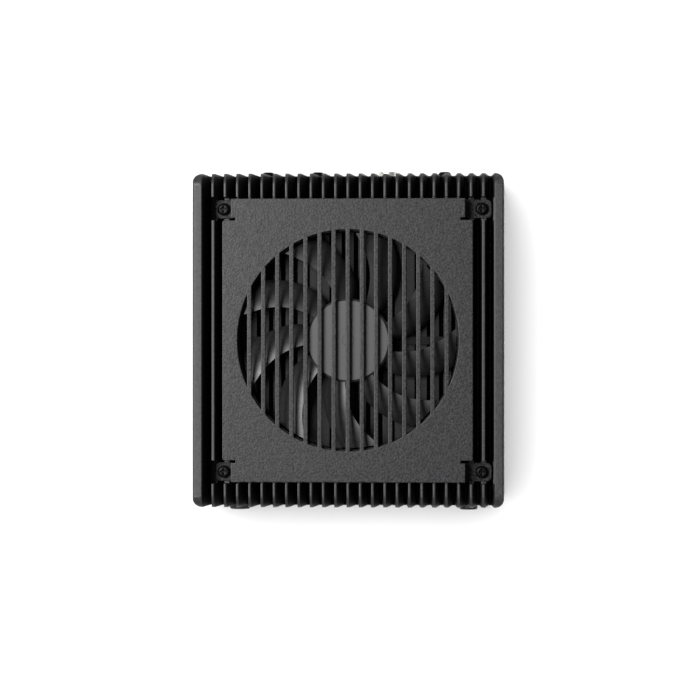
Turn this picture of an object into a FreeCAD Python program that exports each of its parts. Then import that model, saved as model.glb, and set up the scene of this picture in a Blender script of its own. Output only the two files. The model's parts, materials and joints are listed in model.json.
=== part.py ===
import FreeCAD, Part
import os
import re

import Sketcher
from FreeCAD import Placement, Rotation, Vector

# A compact industrial computer: an extruded finned heatsink that is also the case, with end
# panels, a bottom cover, a fan sunk in the fins under a slotted cover plate, and a main board.
# +X is to the right of the front, +Y to the rear, +Z up through the fins.  The origin is under
# the middle of the case, on the surface that its feet stand on.  Millimetres throughout.
# A tool that cuts a face runs 1 mm past it, which is the 1 in many of the formulas.

doc = FreeCAD.newDocument("compact_computer")

# ---------------------------------------------------------------- driving dimensions

DIMENSIONS = {
    # finned case
    "case_width": 126.5,
    "case_depth": 136,
    "side_wall": 4.2,
    "cavity_height": 24.9,
    "base_thick": 4,
    "fin_height": 25,
    "fin_pitch": 5,
    "groove_count": 24,
    "fin_tip": 0.9,
    "groove_floor": 0.9,
    "corner_radius": 3.75,
    "end_radius": 5,
    "rail_radius": 0.8,
    "boss_size": 6.4,
    # bottom cover and feet
    "cover_thick": 1.6,
    "foot_height": 2.5,
    "foot_radius": 6.5,
    "foot_inset_x": 17.25,
    "foot_inset_y": 14,
    "foot_draft": 0.2,
    "foot_bevel": 0.6,
    "foot_bevel_height": 0.5,
    "cover_screw_inset": 18,
    "bracket_pitch": 75,
    "bracket_hole": 2,
    # end panels
    "panel_thick": 2,
    "panel_gap": 0.15,
    # screws
    "screw_radius": 1.5,
    "thread_gap": 0.05,
    "weld": 0.1,
    "pan_radius": 2.6,
    "pan_height": 2,
    "pan_round": 1.2,
    "flat_radius": 2.7,
    "flat_height": 1.4,
    "screw_length": 8,
    "cover_screw_length": 4.5,
    "recess_length": 2.9,
    "recess_width": 0.7,
    "recess_depth": 1.1,
    # fan cover plate
    "plate_thick": 1.5,
    "plate_width": 95.2,
    "plate_length": 115.2,
    "plate_gap": 0.6,
    "plate_sink": 1.6,
    "wing_left": 51.1,
    "wing_right": 50.7,
    "wing_half": 48.8,
    "wing_round": 1,
    "relief_width": 1,
    "relief_depth": 1.8,
    "grille_radius": 45,
    "bar_width": 1.8,
    "bar_pitch": 5.73,
    "bar_count": 15,
    # lugs of the cover plate
    "lug_drop": 8,
    "lug_width": 7.6,
    "lug_left": 54.7,
    "lug_right": 58.2,
    "lug_radius": 2,
    "lug_screw_left": 51.1,
    "lug_screw_right": 54.2,
    "lug_screw_y": 53.6,
    "seat_gap": 0.9,
    "pillar_radius": 2.8,
    "pillar_sink": 1,
    "pillar_bore": 11,
    # fan
    "fan_thick": 15,
    "fan_corner": 3.5,
    "fan_bore": 44.5,
    "fan_hole_pitch": 82.5,
    "fan_hole_edge": 4.75,
    "fan_hole": 2.15,
    "fan_gap": 0.75,
    "gasket_thick": 1.4,
    "gasket_width": 0.9,
    "motor_radius": 17.5,
    "motor_thick": 2.2,
    "strut_width": 3.2,
    "strut_count": 4,
    "shoulder_radius": 6,
    "shoulder_height": 0.7,
    "tube_foot_radius": 4.8,
    "tube_foot_height": 3.3,
    "tube_radius": 4,
    "tube_height": 8.6,
    "bearing_radius": 3.1,
    "bearing_height": 7.4,
    "bearing_recess": 0.3,
    "running_gap": 0.02,
    # rotor
    "hub_radius": 17,
    "hub_height": 11.3,
    "hub_sink": 0.2,
    "hub_top": 1.2,
    "hub_wall": 1.4,
    "hub_round": 0.8,
    "boss_radius": 2.8,
    "boss_height": 2.2,
    "yoke_thick": 0.8,
    "magnet_thick": 2.2,
    "magnet_height": 7.6,
    "yoke_lift": 0.4,
    "shaft_radius": 1.5,
    "shaft_length": 11.7,
    "shaft_sink": 0.6,
    "clip_radius": 2.6,
    "clip_thick": 0.35,
    "clip_gap": 0.1,
    "tip_gap": 0.7,
    "blade_count": 9,
    "blade_height": 10.4,
    "blade_thick": 1.3,
    "blade_sink": 0.7,
    # motor winding
    "stator_gap": 0.5,
    "stator_height": 4.5,
    "pole_width": 4,
    "core_rim": 1.6,
    "coil_thick": 1.3,
    "motor_board_radius": 14,
    "motor_board_thick": 1,
    "motor_board_gap": 0.05,
    # main board
    "board_gap": 0.65,
    "board_end_gap": 0.8,
    "board_drop": 16.5,
    "board_thick": 1.6,
    "post_y": 43,
    "post_radius": 3,
    "post_stud": 2.5,
    "board_screw_length": 6,
    # processor
    "chip_size": 24,
    "chip_height": 1.7,
    "pad_thick": 0.3,
    "block_size": 44,
    "block_screw": 17.5,
    "block_screw_depth": 2.8,
    # memory and storage under the board
    "memory_width": 67.6,
    "memory_length": 30,
    "memory_thick": 1.2,
    "memory_y": 30,
    "socket_wide": 3,
    "socket_long": 6,
    "memory_drop": 2.2,
    "memory_chip_width": 10,
    "memory_chip_length": 12,
    "memory_chip_count": 4,
    "card_chip_height": 0.9,
    "disk_width": 22,
    "disk_length": 80,
    "disk_thick": 0.8,
    "disk_y": -24,
    "disk_drop": 1.6,
    "disk_socket": 8,
    "disk_socket_floor": 0.8,
    "disk_chip_length": 14,
    "disk_chip_width": 16,
    "disk_post_radius": 2.6,
    "slot_depth": 3,
    "slot_gap": 0.05,
    # small parts on the board
    "cell_radius": 10,
    "cell_thick": 3.2,
    "cell_gap": 0.1,
    "holder_wall": 1.4,
    "holder_floor": 1,
    "cell_x": -36,
    "cell_y": 14,
    "lan_chip_size": 6,
    "lan_chip_height": 0.9,
    "lan_chip_setback": 5,
    "choke_size": 7,
    "choke_height": 4,
    "choke_pitch": 8.4,
    "choke_count": 5,
    "choke_x": 30,
    "capacitor_radius": 3.1,
    "capacitor_height": 7,
    "capacitor_x": 39,
    # fan lead
    "lead_x": 32.5,
    "lead_y": 37.5,
    "lead_radius": 1.1,
    "lead_hole": 2.3,
    "header_length": 10.2,
    "header_width": 5.8,
    "header_height": 6,
    "header_base": 2.6,
    "header_wall": 1,
    "plug_height": 5.5,
    # ports
    "port_lip": 0.4,
    "port_gap": 0.3,
    "shell_wall": 0.4,
    "lan_width": 15.9,
    "lan_height": 13.3,
    "lan_depth": 16,
    "lan_mouth_width": 11.9,
    "lan_mouth_height": 7.4,
    "lan_mouth_rise": 2.6,
    "lan_latch_width": 6.2,
    "lan_latch_height": 2,
    "lan_mouth_depth": 12.5,
    "lan_count": 4,
    "usb_width": 13.1,
    "usb_height": 5.9,
    "usb_depth": 14,
    "usb_rise": 0.8,
    "usb_tongue_width": 11.1,
    "usb_tongue_thick": 1.8,
    "usb_tongue_back": 3,
    "usb_tongue_drop": 0.5,
    "tongue_setback": 1,
    "video_width": 15,
    "video_height": 5.6,
    "video_depth": 12,
    "video_rise": 0.5,
    "video_tongue_width": 11,
    "video_tongue_thick": 1.6,
    "video_tongue_rise": 3.1,
    "video_slope": 1.5,
    "small_usb_width": 9,
    "small_usb_height": 3.3,
    "small_usb_depth": 8,
    "inlet_width": 9,
    "inlet_height": 11,
    "inlet_depth": 12,
    "inlet_radius": 3.8,
    "inlet_bore": 2.8,
    "inlet_pin": 1.05,
    "inlet_bore_depth": 9.5,
    "inlet_pin_setback": 1,
    "reach": 2.4,
    # rear screws near the top edge of the rear panel
    "top_screw_drop": 3.4,
    # antenna plug, lamps and power button on the front panel
    "antenna_radius": 4.35,
    "antenna_hole": 3.2,
    "antenna_barb": 3.6,
    "antenna_bevel": 0.6,
    "barb_taper": 0.8,
    "barb_length": 1.5,
    "lamp_pitch": 3.6,
    "lamp_radius": 1.2,
    "lamp_length": 7,
    "control_rise": 5.6,
    "button_radius": 3.75,
    "button_round": 0.4,
    "button_rim": 0.5,
    "button_slope": 0.5,
    "button_dish": 0.15,
    "button_gap": 0.08,
    "button_flange": 4.9,
    "flange_thick": 1.2,
    "button_travel": 1,
    "plunger_half": 1.4,
    "plunger_length": 3.6,
    "plunger_show": 1.4,
    "switch_size": 8,
    "switch_depth": 9,
}

sheet = doc.addObject("Spreadsheet::Sheet", "Dims")
for row, (alias, number) in enumerate(DIMENSIONS.items(), start=1):
    sheet.set(f"A{row}", alias.replace("_", " "))
    sheet.set(f"B{row}", str(number))
    sheet.setAlias(f"B{row}", alias)
doc.recompute()

# Places worked out from the driving dimensions.  A formula may use the ones above it.
PLACES = {
    "half_width": "case_width / 2",
    "half_depth": "case_depth / 2",
    "floor_z": "foot_height + cover_thick",
    "ceiling_z": "floor_z + cavity_height",
    "groove_z": "ceiling_z + base_thick",
    "top_z": "groove_z + fin_height",
    "cavity_half": "half_width - side_wall",
    "comb_half": "(groove_count * fin_pitch - fin_tip) / 2",
    "boss_x": "cavity_half - boss_size / 2",
    "boss_low_z": "floor_z + boss_size / 2",
    "boss_high_z": "ceiling_z - boss_size / 2",
    "panel_y": "half_depth - panel_thick",
    "plate_z": "top_z - plate_sink",
    "plate_half_x": "plate_width / 2",
    "plate_half_y": "plate_length / 2",
    "seat_z": "plate_z - lug_drop",
    "lug_low_y": "wing_half + relief_width",
    "lug_high_y": "lug_low_y + lug_width",
    "fan_top_z": "plate_z - gasket_thick",
    "fan_z": "fan_top_z - fan_thick",
    "fan_size": "fan_hole_pitch + 2 * fan_hole_edge",
    "pocket_half": "fan_size / 2 + fan_gap",
    "motor_z": "fan_z + motor_thick",
    "hub_z": "fan_top_z - hub_sink",
    "skirt_z": "hub_z - hub_height",
    "yoke_z": "hub_z - hub_top",
    "yoke_radius": "hub_radius - hub_wall",
    "magnet_radius": "yoke_radius - yoke_thick",
    "magnet_bore": "magnet_radius - magnet_thick",
    "stator_radius": "magnet_bore - stator_gap",
    "stator_z": "motor_z + tube_foot_height",
    "bearing_z": "motor_z + tube_height - bearing_recess - bearing_height",
    "shaft_z": "yoke_z + shaft_sink - shaft_length",
    "tip_radius": "fan_bore - tip_gap",
    "board_top_z": "ceiling_z - board_drop",
    "board_z": "board_top_z - board_thick",
    "board_half_x": "cavity_half - board_gap",
    "board_half_y": "panel_y - board_end_gap",
    "chip_z": "board_top_z + chip_height",
    "block_z": "chip_z + pad_thick",
    "thread_bore": "screw_radius + thread_gap",
    "control_z": "board_top_z + control_rise",
    "top_screw_z": "ceiling_z - top_screw_drop",
    "foot_x": "half_width - foot_inset_x",
    "foot_y": "half_depth - foot_inset_y",
    "cover_screw_y": "half_depth - cover_screw_inset",
    # what stands in a row across the case keeps its share of the width
    "post_x": "0.3636 * case_width",
    "lan_x": "-0.2292 * case_width",
    "lan_pitch": "0.1383 * case_width",
    "antenna_x": "-0.3739 * case_width",
    "lamp_x": "0.2767 * case_width",
    "button_x": "0.3826 * case_width",
    "video_first_x": "-0.3715 * case_width",
    "usb_first_x": "-0.2134 * case_width",
    "usb_second_x": "-0.0672 * case_width",
    "small_usb_x": "0.0332 * case_width",
    "inlet_x": "0.1162 * case_width",
    "video_second_x": "0.2411 * case_width",
    "usb_third_x": "0.3794 * case_width",
    "top_screw_first_x": "-0.2751 * case_width",
    "top_screw_second_x": "-0.1115 * case_width",
    "top_screw_third_x": "0.3051 * case_width",
}


def expand(formula):
    """Write a formula of dimensions and places as one of spreadsheet cells."""
    def cell(match):
        word = match.group(0)
        if word in DIMENSIONS:
            return f"Dims.{word}"
        if word in PLACES:
            return f"({expand(PLACES[word])})"
        return word
    return re.sub(r"[a-z][a-z_0-9]*", cell, formula)


def value(formula):
    """The number that a formula gives now."""
    return float(sheet.evalExpression(expand(formula)))


def bind(thing, name, formula):
    thing.setExpression(name, expand(formula))


nodes = []


def node(thing, label):
    """Name a finished sub-part, which is written to a file of that name."""
    thing.Label = label
    nodes.append(thing)
    return thing


# ---------------------------------------------------------------- solid helpers

AXES = {
    "z": Rotation(),
    "y": Rotation(Vector(1, 0, 0), -90),
    "-y": Rotation(Vector(1, 0, 0), 90),
    "-z": Rotation(Vector(1, 0, 0), 180),
}


def block(name, x, y, z):
    """A box between two formulas on each axis."""
    solid = doc.addObject("Part::Box", name)
    for side, letter, (low, high) in zip(("Length", "Width", "Height"), "xyz", (x, y, z)):
        bind(solid, side, f"({high}) - ({low})")
        bind(solid, f"Placement.Base.{letter}", low)
    return solid


def set_place(solid, place, axis):
    solid.Placement = Placement(Vector(), AXES[axis])
    for letter, formula in zip("xyz", place):
        bind(solid, f"Placement.Base.{letter}", formula)


def rod(name, place, radius, length, axis="z"):
    """A cylinder from a place along an axis."""
    solid = doc.addObject("Part::Cylinder", name)
    set_place(solid, place, axis)
    bind(solid, "Radius", radius)
    bind(solid, "Height", length)
    return solid


def taper(name, place, radius, end_radius, length, axis="z"):
    """A cone from a place along an axis."""
    solid = doc.addObject("Part::Cone", name)
    set_place(solid, place, axis)
    bind(solid, "Radius1", radius)
    bind(solid, "Radius2", end_radius)
    bind(solid, "Height", length)
    return solid


def fuse(name, solids):
    union = doc.addObject("Part::MultiFuse", name)
    union.Shapes = solids
    return union


def group(name, solids):
    """Separate solids kept as one object."""
    several = doc.addObject("Part::Compound", name)
    several.Links = solids
    return several


def cut(name, base, tools):
    """A solid with one or more others taken out of it."""
    rest = doc.addObject("Part::Cut", name)
    rest.Base = base
    rest.Tool = tools[0] if len(tools) == 1 else fuse(f"{name}_tools", tools)
    return rest


def common(name, solids):
    shared = doc.addObject("Part::MultiCommon", name)
    shared.Shapes = solids
    return shared


NEAR = 0.1  # how near an edge's middle has to be to where it is looked for


def round_edges(name, base, radius, direction, keep=None):
    """Round the straight edges that run along a direction and pass a test at their middle."""
    doc.recompute()
    chosen = []
    for number, edge in enumerate(base.Shape.Edges, start=1):
        if edge.Curve.TypeId != "Part::GeomLine":
            continue
        if abs(edge.Curve.Direction.dot(Vector(*direction))) < 0.999:
            continue
        if keep is None or keep(edge.CenterOfMass):
            chosen.append((number, value(radius), value(radius)))
    rounded = doc.addObject("Part::Fillet", name)
    rounded.Base = base
    rounded.Edges = chosen
    return rounded


def both_ends():
    """The front and the rear: a name, the sign of Y and the axis that points into the case."""
    return (("front", -1, "y"), ("rear", 1, "-y"))


def inward(sign, near, far):
    """The Y range between two depths behind an end face; a depth below zero is outside it."""
    if sign < 0:
        return (f"-half_depth + ({near})", f"-half_depth + ({far})")
    return (f"half_depth - ({far})", f"half_depth - ({near})")


def centred(half):
    return (f"-({half})", half)


def beside(x, width):
    """The X or Y range of a given width round a middle."""
    return (f"{x} - ({width}) / 2", f"{x} + ({width}) / 2")


def end_face(sign, depth="0"):
    """A Y formula at a depth behind an end face."""
    return f"{sign} * (half_depth - ({depth}))"


# ---------------------------------------------------------------- sketch helpers

def body(name):
    return doc.addObject("PartDesign::Body", name)


def sketch_on(owner, role, offset="0"):
    """A sketch on one of a body's own origin planes, moved along the plane's normal."""
    sketch = owner.newObject("Sketcher::SketchObject", f"{owner.Name}_sketch")
    plane = next(item for item in owner.Origin.OriginFeatures if item.Role == role)
    sketch.AttachmentSupport = [(plane, "")]
    sketch.MapMode = "FlatFace"
    bind(sketch, "AttachmentOffset.Base.z", offset)
    return sketch


def fix(sketch, geometry, point, x, y):
    """Hold a point of a sketch at two formulas."""
    for kind, formula in (("DistanceX", x), ("DistanceY", y)):
        number = sketch.addConstraint(
            Sketcher.Constraint(kind, -1, 1, geometry, point, value(formula)))
        sketch.setExpression(f"Constraints[{number}]", expand(formula))


def outline(sketch, points):
    """A closed outline of straight lines through pairs of formulas."""
    corners = [Vector(value(x), value(y), 0) for x, y in points]
    count = len(points)
    first = sketch.GeometryCount
    for index in range(count):
        sketch.addGeometry(Part.LineSegment(corners[index], corners[(index + 1) % count]))
    for index in range(count):
        following = first + (index + 1) % count
        sketch.addConstraint(Sketcher.Constraint("Coincident", first + index, 2, following, 1))
    for index, (x, y) in enumerate(points):
        fix(sketch, first + index, 1, x, y)


def rectangle(sketch, left, right, low, high):
    outline(sketch, [(left, low), (right, low), (right, high), (left, high)])


def circle(sketch, x, y, radius):
    centre = Vector(value(x), value(y), 0)
    number = sketch.addGeometry(Part.Circle(centre, Vector(0, 0, 1), value(radius)))
    fix(sketch, number, 3, x, y)
    size = sketch.addConstraint(Sketcher.Constraint("Radius", number, value(radius)))
    sketch.setExpression(f"Constraints[{size}]", expand(radius))


def pad(owner, sketch, length, middle=False):
    feature = owner.newObject("PartDesign::Pad", f"{owner.Name}_pad")
    feature.Profile = sketch
    bind(feature, "Length", length)
    feature.SideType = "Symmetric" if middle else "One side"
    owner.Tip = feature
    return feature


def pocket(owner, sketch, length, middle=False, reverse=False):
    """Cut a sketch into the body, and make sure that it removed something."""
    doc.recompute()
    before = owner.Shape.Volume
    feature = owner.newObject("PartDesign::Pocket", f"{owner.Name}_pocket")
    feature.Profile = sketch
    bind(feature, "Length", length)
    feature.SideType = "Symmetric" if middle else "One side"
    feature.Reversed = reverse
    owner.Tip = feature
    doc.recompute()
    if not owner.Shape.Volume < before:
        raise RuntimeError(f"{feature.Name} removed nothing")
    return feature


def row_of(owner, feature, sketch, count, spacing):
    """Repeat a feature along its sketch's own X."""
    pattern = owner.newObject("PartDesign::LinearPattern", f"{owner.Name}_row")
    pattern.Originals = [feature]
    pattern.Direction = (sketch, ["H_Axis"])
    bind(pattern, "Occurrences", count)
    bind(pattern, "Length", f"(({count}) - 1) * ({spacing})")
    owner.Tip = pattern
    return pattern


def ring_of(owner, feature, sketch, count):
    """Repeat a feature round its sketch's normal."""
    pattern = owner.newObject("PartDesign::PolarPattern", f"{owner.Name}_ring")
    pattern.Originals = [feature]
    pattern.Axis = (sketch, ["N_Axis"])
    pattern.Angle = 360
    bind(pattern, "Occurrences", count)
    owner.Tip = pattern
    return pattern


def turned(owner, points):
    """A solid turned round Z from a half section of radius and height."""
    sketch = sketch_on(owner, "XZ_Plane")
    outline(sketch, points)
    feature = owner.newObject("PartDesign::Revolution", f"{owner.Name}_turn")
    feature.Profile = sketch
    feature.ReferenceAxis = (sketch, ["V_Axis"])
    feature.Angle = 360
    owner.Tip = feature
    return feature


def put(owner, place, axis="z"):
    """Place a body made round its own Z axis."""
    set_place(owner, place, axis)
    return owner


# ---------------------------------------------------------------- screws

def screw(name, head, length):
    """A screw with a cross recess, its head's top face at the origin and its shank below."""
    if head == "pan":
        shape = rod(f"{name}_head", ("0", "0", "-pan_height"), "pan_radius", "pan_height")
        doc.recompute()
        rim = [number for number, edge in enumerate(shape.Shape.Edges, start=1)
               if edge.Curve.TypeId == "Part::GeomCircle" and edge.CenterOfMass.z > -NEAR]
        top = doc.addObject("Part::Fillet", f"{name}_dome")
        top.Base = shape
        top.Edges = [(rim[0], value("pan_round"), value("pan_round"))]
        under = "pan_height"
    else:
        top = taper(f"{name}_head", ("0", "0", "-flat_height"), "screw_radius", "flat_radius",
                    "flat_height")
        under = "flat_height"
    shank = rod(f"{name}_shank", ("0", "0", f"-({under}) - ({length})"), "screw_radius",
                f"({length}) + weld")
    whole = fuse(f"{name}_whole", [top, shank])
    arms = [("recess_length / 2", "recess_width / 2"), ("recess_width / 2", "recess_length / 2")]
    recess = [block(f"{name}_arm", (f"-{a}", a), (f"-{b}", b), ("-recess_depth", "1"))
              for a, b in arms]
    return cut(name, whole, recess)


def linked(name, source, places, axis):
    """Links to one solid at several places."""
    links = []
    for place in places:
        link = doc.addObject("App::Link", f"{name}_link")
        link.LinkedObject = source
        set_place(link, place, axis)
        links.append(link)
    return links


def copies(name, source, places, axis):
    """Copies of one solid at several places, as a node."""
    return node(group(f"{name}_group", linked(name, source, places, axis)), name)


def corners(x, y):
    """The four places of a rectangle of half sizes x and y."""
    return [(f"{side} * ({x})", f"{end} * ({y})") for side in (-1, 1) for end in (-1, 1)]


def lug_places():
    """The plan places of the four lug screws."""
    return [(x, f"{end} * lug_screw_y")
            for x in ("-lug_screw_left", "lug_screw_right") for end in (-1, 1)]


def panel_screw_places():
    """The X and Z of the four screws of an end panel."""
    return [(f"{side} * boss_x", z) for side in (-1, 1) for z in ("boss_low_z", "boss_high_z")]


def top_screw_places():
    return [(x, "top_screw_z") for x in
            ("top_screw_first_x", "top_screw_second_x", "top_screw_third_x")]


def make_screws():
    flat = screw("flat_screw", "flat", "screw_length")
    flat_short = screw("short_flat_screw", "flat", "cover_screw_length")
    pan = screw("pan_screw", "pan", "screw_length")
    copies("fan_cover_screws", pan,
           [(x, y, "seat_z + plate_thick + pan_height") for x, y in lug_places()], "z")
    panel_screws = []
    for end, sign, _ in both_ends():
        outward = "y" if sign > 0 else "-y"
        panel_screws += linked(f"{end}_screw", flat,
                               [(x, end_face(sign), z) for x, z in panel_screw_places()], outward)
    node(group("panel_screw_group", panel_screws), "panel_screws")
    copies("rear_top_screws", pan,
           [(x, "half_depth + pan_height", z) for x, z in top_screw_places()], "y")
    copies("bottom_cover_screws", flat_short,
           [(x, y, "foot_height") for x, y in corners("boss_x", "cover_screw_y")], "-z")


# ---------------------------------------------------------------- finned case

def case_profile():
    """The extruded case: a channel that is open below, with grooves cut between its fins."""
    owner = body("case_profile")
    section = sketch_on(owner, "XZ_Plane")
    rectangle(section, "-half_width", "half_width", "floor_z", "top_z")
    pad(owner, section, "case_depth", middle=True)

    cavity = sketch_on(owner, "XZ_Plane")
    rectangle(cavity, "-cavity_half", "cavity_half", "floor_z - 1", "ceiling_z")
    pocket(owner, cavity, "case_depth + 2", middle=True)

    first = "(groove_count - 1) / 2 * fin_pitch"
    groove = sketch_on(owner, "XZ_Plane")
    top_half = "(fin_pitch - fin_tip) / 2"
    outline(groove, [
        (f"-{first} - groove_floor / 2", "groove_z"),
        (f"-{first} + groove_floor / 2", "groove_z"),
        (f"-{first} + {top_half}", "top_z"),
        (f"-{first} + {top_half}", "top_z + 1"),
        (f"-{first} - {top_half}", "top_z + 1"),
        (f"-{first} - {top_half}", "top_z"),
    ])
    cutting = pocket(owner, groove, "case_depth + 2", middle=True)
    row_of(owner, cutting, groove, "groove_count", "fin_pitch")
    return owner


def case_outside():
    """Three rounded blocks whose shared space is the outside of the case."""
    x = ("-half_width", "half_width")
    y = ("-half_depth", "half_depth")
    z = ("floor_z", "top_z")
    below = ("floor_z - 10", "top_z")
    plan = round_edges("case_plan", block("plan_block", x, y, z), "corner_radius", (0, 0, 1))
    top = value("top_z")
    ends = round_edges("case_ends", block("end_block", x, y, below), "end_radius", (1, 0, 0),
                       lambda middle: middle.z > top - 1)
    rails = round_edges("case_rails", block("rail_block", x, y, below), "rail_radius",
                        (0, 1, 0), lambda middle: middle.z > top - 1)
    return [plan, ends, rails]


def case_bosses():
    """Square bosses along the cavity's corners and small ones for the rear's top screws."""
    bosses = []
    for side in (-1, 1):
        inner = "cavity_half - boss_size"
        x = (inner, "cavity_half + 1") if side > 0 else ("-cavity_half - 1", f"-({inner})")
        for z in (("floor_z", "floor_z + boss_size"), ("ceiling_z - boss_size", "ceiling_z + 1")):
            bosses.append(block("case_boss", x, ("-panel_y", "panel_y"), z))
    for x, z in top_screw_places():
        bosses.append(block("top_boss", (f"{x} - boss_size / 2", f"{x} + boss_size / 2"),
                            ("panel_y - screw_length", "panel_y"),
                            (f"{z} - boss_size / 2", "ceiling_z + 1")))
    return bosses


def lug_box(name, x_sign, y_sign, gap, z):
    """The block over a lug of the cover plate, with a gap round its three free sides."""
    reach = "lug_right" if x_sign > 0 else "lug_left"
    inner = f"plate_half_x - plate_thick - ({gap})"
    outer = f"{reach} + ({gap})"
    x = (inner, outer) if x_sign > 0 else (f"-({outer})", f"-({inner})")
    low, high = f"lug_low_y - ({gap})", f"lug_high_y + ({gap})"
    y = (low, high) if y_sign > 0 else (f"-({high})", f"-({low})")
    return block(name, x, y, z)


def case_cuts():
    """Everything milled or drilled into the extrusion."""
    above = "top_z + 1"
    cuts = [block("plate_bed", ("-comb_half", "comb_half"),
                  ("-plate_half_y - plate_gap", "plate_half_y + plate_gap"),
                  ("plate_z", above))]
    fan_room = block("fan_room", ("-pocket_half", "pocket_half"), ("-pocket_half", "pocket_half"),
                     ("fan_z", above))
    cuts.append(round_edges("fan_pocket", fan_room, "fan_corner", (0, 0, 1)))
    for x_sign in (-1, 1):
        for y_sign in (-1, 1):
            cuts.append(lug_box("lug_seat", x_sign, y_sign, "seat_gap", ("seat_z", above)))
    for x, y in lug_places():
        cuts.append(rod("pillar_hole", (x, y, "groove_z - pillar_sink"), "pillar_radius",
                        "fin_height"))
    cuts.append(rod("lead_hole", ("lead_x", "lead_y", "ceiling_z - 1"), "lead_hole",
                    "fan_z - ceiling_z + 2"))
    for x, y in corners("block_screw", "block_screw"):
        cuts.append(rod("block_hole", (x, y, "ceiling_z - 1"), "thread_bore",
                        "block_screw_depth + 1.2"))
    for x, y in corners("post_x", "post_y"):
        cuts.append(rod("post_hole", (x, y, "ceiling_z - 1"), "thread_bore", "post_stud + 1.2"))
    for end, sign, into in both_ends():
        places = panel_screw_places() + (top_screw_places() if end == "rear" else [])
        for x, z in places:
            cuts.append(rod("panel_hole", (x, end_face(sign, "-1"), z), "thread_bore",
                            "screw_length + flat_height + 2", into))
    for x, y in corners("boss_x", "cover_screw_y"):
        cuts.append(rod("cover_hole", (x, y, "floor_z - 1"), "thread_bore",
                        "cover_screw_length + 1.5"))
    return cuts


def make_case():
    outside = common("case_blank", [case_profile()] + case_outside())
    carried = fuse("case_carried", [outside] + case_bosses())
    node(cut("heatsink_housing", carried, case_cuts()), "heatsink_housing")


# ---------------------------------------------------------------- covers, panels and feet

def make_bottom_cover():
    sheet_block = block("cover_block", ("-half_width", "half_width"),
                        ("-half_depth", "half_depth"), ("foot_height", "floor_z"))
    plate = round_edges("cover_plan", sheet_block, "corner_radius", (0, 0, 1))
    holes = [rod("bracket_hole", (x, y, "foot_height - 1"), "bracket_hole", "cover_thick + 2")
             for x, y in corners("bracket_pitch / 2", "bracket_pitch / 2")]
    for x, y in corners("boss_x", "cover_screw_y"):
        holes.append(taper("cover_sink", (x, y, "foot_height"), "flat_radius", "thread_bore",
                           "flat_height"))
        holes.append(rod("cover_clear", (x, y, "foot_height"), "thread_bore", "cover_thick + 1"))
    node(cut("bottom_cover", plate, holes), "bottom_cover")


def make_feet():
    for end, y_sign in (("front", -1), ("rear", 1)):
        for side, x_sign in (("left", -1), ("right", 1)):
            name = f"foot_{end}_{side}"
            owner = body(name)
            edge = "foot_radius - foot_draft"
            turned(owner, [("0", "0"), (f"{edge} - foot_bevel", "0"), (edge, "foot_bevel_height"),
                           ("foot_radius", "foot_height"), ("0", "foot_height")])
            node(put(owner, (f"{x_sign} * foot_x", f"{y_sign} * foot_y", "0")), name)


def make_panels():
    for end, sign, into in both_ends():
        x = ("-cavity_half + panel_gap", "cavity_half - panel_gap")
        plate = block(f"{end}_plate", x, inward(sign, "0", "panel_thick"),
                      ("floor_z + panel_gap", "ceiling_z - panel_gap"))
        holes = port_openings(end, sign)
        for x, z in panel_screw_places():
            holes.append(taper("panel_sink", (x, end_face(sign), z), "flat_radius",
                               "thread_bore", "flat_height", into))
            holes.append(rod("panel_clear", (x, end_face(sign), z), "thread_bore",
                             "panel_thick + 1", into))
        if end == "rear":
            holes += [rod("top_clear", (x, end_face(sign, "-1"), z), "thread_bore",
                          "panel_thick + 2", into) for x, z in top_screw_places()]
        node(cut(f"{end}_panel", plate, holes), f"{end}_panel")


def port_opening(sign, x, width, low, height):
    """A cut through an end panel round a port."""
    half = f"({width}) / 2 + port_gap"
    return block("port_opening", (f"{x} - ({half})", f"{x} + ({half})"),
                 inward(sign, "-1", "panel_thick + 1"),
                 (f"{low} - port_gap", f"{low} + {height} + port_gap"))


def port_openings(end, sign):
    into = "y" if sign < 0 else "-y"
    if end == "front":
        middle = "lan_x + (lan_count - 1) / 2 * lan_pitch"
        openings = [port_opening(sign, middle, "lan_width + (lan_count - 1) * lan_pitch",
                                 "board_top_z", "lan_height")]
        bores = [("antenna_x", "control_z", "antenna_hole"),
                 ("button_x", "control_z", "button_radius + button_gap")]
        bores += [(x, "control_z", "lamp_radius") for x in lamp_places()]
    else:
        openings = [port_opening(sign, x, "usb_width", "board_top_z + usb_rise", "usb_height")
                    for x in usb_places()]
        openings += [port_opening(sign, x, "video_width", "board_top_z + video_rise",
                                  "video_height") for x in video_places()]
        openings.append(port_opening(sign, "small_usb_x", "small_usb_width",
                                     "board_top_z + video_rise", "small_usb_height"))
        bores = [("inlet_x", "board_top_z + inlet_height / 2", "inlet_radius + port_gap")]
    for x, z, radius in bores:
        openings.append(rod("control_hole", (x, end_face(sign, "-1"), z), radius,
                            "panel_thick + 2", into))
    return openings


# ---------------------------------------------------------------- fan cover plate

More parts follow.
